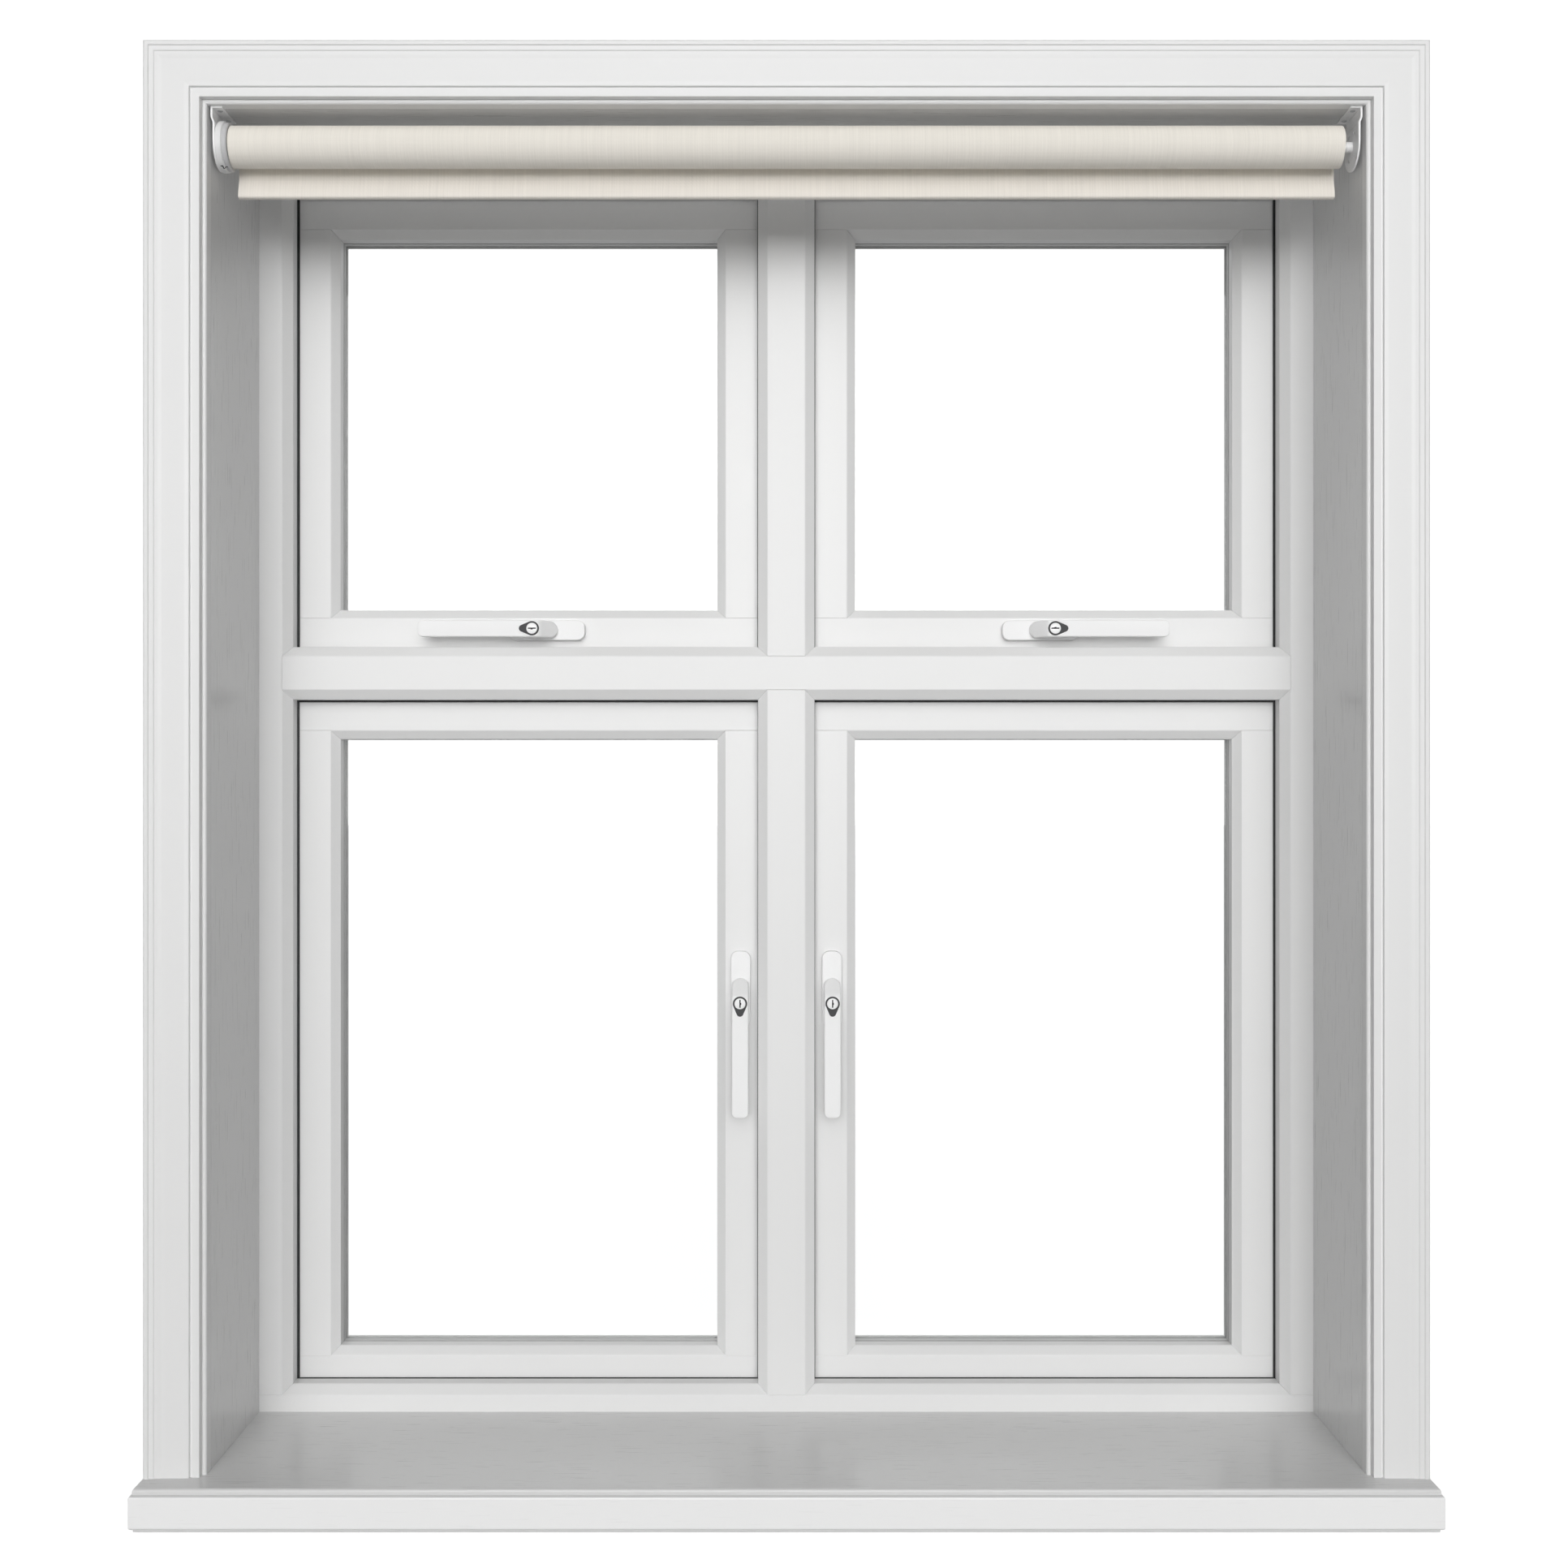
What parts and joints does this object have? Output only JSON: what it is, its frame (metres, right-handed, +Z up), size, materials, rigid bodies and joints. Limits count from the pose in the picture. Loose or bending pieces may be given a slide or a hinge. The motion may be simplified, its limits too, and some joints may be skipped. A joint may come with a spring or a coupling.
{
  "type": "casement window",
  "caption": "White timber casement window with side-hung and top-hung sashes, locking lever handles, moulded casings, window board and a roller blind in the reveal.",
  "frame": {"origin": "underside of the window board, in the inner plane of the wall, on the window's centre line", "axes": "+X to the right seen from the room, +Y outdoors, +Z up"},
  "size_m": [1.223, 0.315, 1.398],
  "materials": {
    "painted_timber": "satin white paint on timber",
    "painted_board": "semi-gloss white paint on board",
    "clear_glass": "clear polished glass",
    "seal_rubber": "black rubber weather seal",
    "zinc_steel": "bright zinc plate",
    "hinge_steel": "satin stainless",
    "handle_enamel": "gloss white powder coat",
    "lock_white": "gloss white cap",
    "blind_bracket_enamel": "white enamel on pressed steel",
    "blind_plastic": "moulded white plastic",
    "blind_tube_metal": "extruded aluminium",
    "blind_fabric": "cream woven cloth"
  },
  "bodies": {
    "frame": {"casing_head": "painted_timber", "casing_left": "painted_timber", "casing_right": "painted_timber", "window_board": "painted_board", "lining_head": "painted_board", "lining_left": "painted_board", "lining_right": "painted_board", "frame_head": "painted_timber", "frame_sill": "painted_timber", "frame_jamb_left": "painted_timber", "frame_jamb_right": "painted_timber", "transom": "painted_timber", "mullion_upper": "painted_timber", "mullion_lower": "painted_timber", "frame_gaskets": "seal_rubber", "lock_keeps": "zinc_steel", "hinge_frame_leaves": "hinge_steel", "blind_bracket_left": "blind_bracket_enamel", "blind_bracket_right": "blind_bracket_enamel", "blind_clutch": "blind_plastic"},
    "lower_left_sash": {"lower_left_rails": "painted_timber", "lower_left_stiles": "painted_timber", "lower_left_glass": "clear_glass", "lower_left_glazing_beads": "painted_timber", "lower_left_hinge_leaves": "hinge_steel", "lower_left_handle_base": "handle_enamel"},
    "lower_left_handle": {"lower_left_lever": "handle_enamel"},
    "lower_left_key_lock": {"lower_left_lock_cylinder": "lock_white"},
    "lower_left_rod": {"lower_left_drive_rod": "zinc_steel"},
    "lower_right_sash": {"lower_right_rails": "painted_timber", "lower_right_stiles": "painted_timber", "lower_right_glass": "clear_glass", "lower_right_glazing_beads": "painted_timber", "lower_right_hinge_leaves": "hinge_steel", "lower_right_handle_base": "handle_enamel"},
    "lower_right_handle": {"lower_right_lever": "handle_enamel"},
    "lower_right_key_lock": {"lower_right_lock_cylinder": "lock_white"},
    "lower_right_rod": {"lower_right_drive_rod": "zinc_steel"},
    "upper_left_sash": {"upper_left_rails": "painted_timber", "upper_left_stiles": "painted_timber", "upper_left_glass": "clear_glass", "upper_left_glazing_beads": "painted_timber", "upper_left_hinge_leaves": "hinge_steel", "upper_left_handle_base": "handle_enamel"},
    "upper_left_handle": {"upper_left_lever": "handle_enamel"},
    "upper_left_key_lock": {"upper_left_lock_cylinder": "lock_white"},
    "upper_left_rod": {"upper_left_drive_rod": "zinc_steel"},
    "upper_right_sash": {"upper_right_rails": "painted_timber", "upper_right_stiles": "painted_timber", "upper_right_glass": "clear_glass", "upper_right_glazing_beads": "painted_timber", "upper_right_hinge_leaves": "hinge_steel", "upper_right_handle_base": "handle_enamel"},
    "upper_right_handle": {"upper_right_lever": "handle_enamel"},
    "upper_right_key_lock": {"upper_right_lock_cylinder": "lock_white"},
    "upper_right_rod": {"upper_right_drive_rod": "zinc_steel"},
    "blind_hem": {"blind_fabric_drop": "blind_fabric", "blind_hem_bar": "blind_fabric"},
    "blind_roller": {"blind_tube": "blind_tube_metal", "blind_fabric_roll": "blind_fabric"}
  },
  "joints": [
    {"name": "lower_left_sash_swing", "type": "hinge", "parent": "frame", "child": "lower_left_sash", "pos_m": [-0.5447, 0.2388, 0.426], "axis": [0, 0, 1], "range_deg": [0, 90]},
    {"name": "lower_left_handle_turn", "type": "hinge", "parent": "lower_left_sash", "child": "lower_left_handle", "pos_m": [-0.04815, 0.1945, 0.48], "axis": [0, 1, 0], "range_deg": [0, 90]},
    {"name": "lower_left_key_turn", "type": "hinge", "parent": "lower_left_handle", "child": "lower_left_key_lock", "pos_m": [-0.04815, 0.1945, 0.4677], "axis": [0, -1, 0], "range_deg": [0, 90]},
    {"name": "lower_left_rod_slide", "type": "slide", "parent": "lower_left_sash", "child": "lower_left_rod", "axis": [0, 0, -1], "range_m": [0, 0.018]},
    {"name": "lower_right_sash_swing", "type": "hinge", "parent": "frame", "child": "lower_right_sash", "pos_m": [0.5447, 0.2388, 0.426], "axis": [0, 0, -1], "range_deg": [0, 90]},
    {"name": "lower_right_handle_turn", "type": "hinge", "parent": "lower_right_sash", "child": "lower_right_handle", "pos_m": [0.04815, 0.1945, 0.48], "axis": [0, -1, 0], "range_deg": [0, 90]},
    {"name": "lower_right_key_turn", "type": "hinge", "parent": "lower_right_handle", "child": "lower_right_key_lock", "pos_m": [0.04815, 0.1945, 0.4677], "axis": [0, -1, 0], "range_deg": [0, 90]},
    {"name": "lower_right_rod_slide", "type": "slide", "parent": "lower_right_sash", "child": "lower_right_rod", "axis": [0, 0, -1], "range_m": [0, 0.018]},
    {"name": "upper_left_sash_swing", "type": "hinge", "parent": "frame", "child": "upper_left_sash", "pos_m": [-0.2523, 0.2388, 1.3432], "axis": [1, 0, 0], "range_deg": [0, 60]},
    {"name": "upper_left_handle_turn", "type": "hinge", "parent": "upper_left_sash", "child": "upper_left_handle", "pos_m": [-0.2523, 0.1945, 0.8581], "axis": [0, 1, 0], "range_deg": [0, 90]},
    {"name": "upper_left_key_turn", "type": "hinge", "parent": "upper_left_handle", "child": "upper_left_key_lock", "pos_m": [-0.2646, 0.1945, 0.8581], "axis": [0, -1, 0], "range_deg": [0, 90]},
    {"name": "upper_left_rod_slide", "type": "slide", "parent": "upper_left_sash", "child": "upper_left_rod", "axis": [-1, 0, 0], "range_m": [0, 0.018]},
    {"name": "upper_right_sash_swing", "type": "hinge", "parent": "frame", "child": "upper_right_sash", "pos_m": [0.2675, 0.2388, 1.3432], "axis": [1, 0, 0], "range_deg": [0, 60]},
    {"name": "upper_right_handle_turn", "type": "hinge", "parent": "upper_right_sash", "child": "upper_right_handle", "pos_m": [0.2675, 0.1945, 0.8581], "axis": [0, -1, 0], "range_deg": [0, 90]},
    {"name": "upper_right_key_turn", "type": "hinge", "parent": "upper_right_handle", "child": "upper_right_key_lock", "pos_m": [0.2798, 0.1945, 0.8581], "axis": [0, -1, 0], "range_deg": [0, 90]},
    {"name": "upper_right_rod_slide", "type": "slide", "parent": "upper_right_sash", "child": "upper_right_rod", "axis": [1, 0, 0], "range_m": [0, 0.018]},
    {"name": "blind_drop", "type": "slide", "parent": "frame", "child": "blind_hem", "axis": [0, 0, -1], "range_m": [0, 1.2], "deforming": ["blind_fabric_drop"]},
    {"name": "blind_roller_turn", "type": "hinge", "parent": "frame", "child": "blind_roller", "pos_m": [0, 0.0153, 1.3093], "axis": [-1, 0, 0], "continuous": true}
  ],
  "couplings": [
    {"joint": "lower_left_rod_slide", "follows": "lower_left_handle_turn", "m_per_rad": 0.01145},
    {"joint": "lower_right_rod_slide", "follows": "lower_right_handle_turn", "m_per_rad": 0.01145},
    {"joint": "upper_left_rod_slide", "follows": "upper_left_handle_turn", "m_per_rad": 0.01145},
    {"joint": "upper_right_rod_slide", "follows": "upper_right_handle_turn", "m_per_rad": 0.01145},
    {"joint": "blind_roller_turn", "follows": "blind_drop", "rad_per_m": 49.751}
  ]
}
